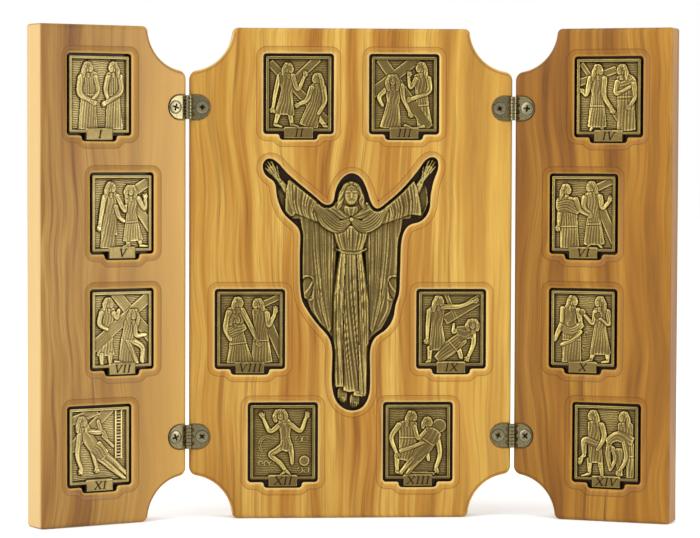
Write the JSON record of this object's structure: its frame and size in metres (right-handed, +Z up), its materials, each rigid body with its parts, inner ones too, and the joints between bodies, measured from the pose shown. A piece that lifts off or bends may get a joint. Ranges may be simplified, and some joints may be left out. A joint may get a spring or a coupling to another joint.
{
  "type": "triptych altarpiece",
  "caption": "Folding wooden triptych with two hinged wings, numbered cast relief plaques in routed recesses and a large cast robed figure with raised arms at the centre.",
  "frame": {"origin": "centre of the centre panel's underside, at the middle of its thickness", "axes": "+X to the right as seen from the front, -Y towards the viewer in front, +Z up"},
  "size_m": [0.3188, 0.0553, 0.244],
  "materials": {
    "wood_centre": "satin varnished golden olive wood with brown streaks",
    "wood_left": "satin varnished tan olive wood with red-brown grain",
    "wood_right": "satin varnished orange-brown olive wood",
    "cast_bright": "cast relief, antique gold finish, dark in the hollows",
    "cast_aged": "cast relief, olive bronze finish, dark in the hollows",
    "hinge_metal": "antique plated sheet, rolled barrel",
    "screw_metal": "antique plated countersunk cross-recess screws"
  },
  "bodies": {
    "centre": {"panel_centre": "wood_centre", "plaque_02": "cast_aged", "plaque_03": "cast_aged", "plaque_08": "cast_aged", "plaque_09": "cast_aged", "plaque_12": "cast_aged", "plaque_13": "cast_aged", "figure": "cast_aged", "hinge_upper_left_leaf_centre": "hinge_metal", "hinge_upper_left_pin": "hinge_metal", "hinge_upper_left_screw_centre": "screw_metal", "hinge_lower_left_leaf_centre": "hinge_metal", "hinge_lower_left_pin": "hinge_metal", "hinge_lower_left_screw_centre": "screw_metal", "hinge_upper_right_leaf_centre": "hinge_metal", "hinge_upper_right_pin": "hinge_metal", "hinge_upper_right_screw_centre": "screw_metal", "hinge_lower_right_leaf_centre": "hinge_metal", "hinge_lower_right_pin": "hinge_metal", "hinge_lower_right_screw_centre": "screw_metal"},
    "left_wing": {"panel_left": "wood_left", "plaque_01": "cast_bright", "plaque_05": "cast_bright", "plaque_07": "cast_bright", "plaque_11": "cast_bright", "hinge_upper_left_leaf_wing": "hinge_metal", "hinge_upper_left_screw_wing": "screw_metal", "hinge_lower_left_leaf_wing": "hinge_metal", "hinge_lower_left_screw_wing": "screw_metal"},
    "right_wing": {"panel_right": "wood_right", "plaque_04": "cast_aged", "plaque_06": "cast_aged", "plaque_10": "cast_aged", "plaque_14": "cast_aged", "hinge_upper_right_leaf_wing": "hinge_metal", "hinge_upper_right_screw_wing": "screw_metal", "hinge_lower_right_leaf_wing": "hinge_metal", "hinge_lower_right_screw_wing": "screw_metal"}
  },
  "joints": [
    {"name": "left_wing_hinge", "type": "hinge", "parent": "centre", "child": "left_wing", "pos_m": [-0.08075, -0.0102, 0.12], "axis": [0, 0, 1], "range_deg": [-28.3, 151.7]},
    {"name": "right_wing_hinge", "type": "hinge", "parent": "centre", "child": "right_wing", "pos_m": [0.08075, -0.0102, 0.12], "axis": [0, 0, -1], "range_deg": [-24, 156]}
  ]
}
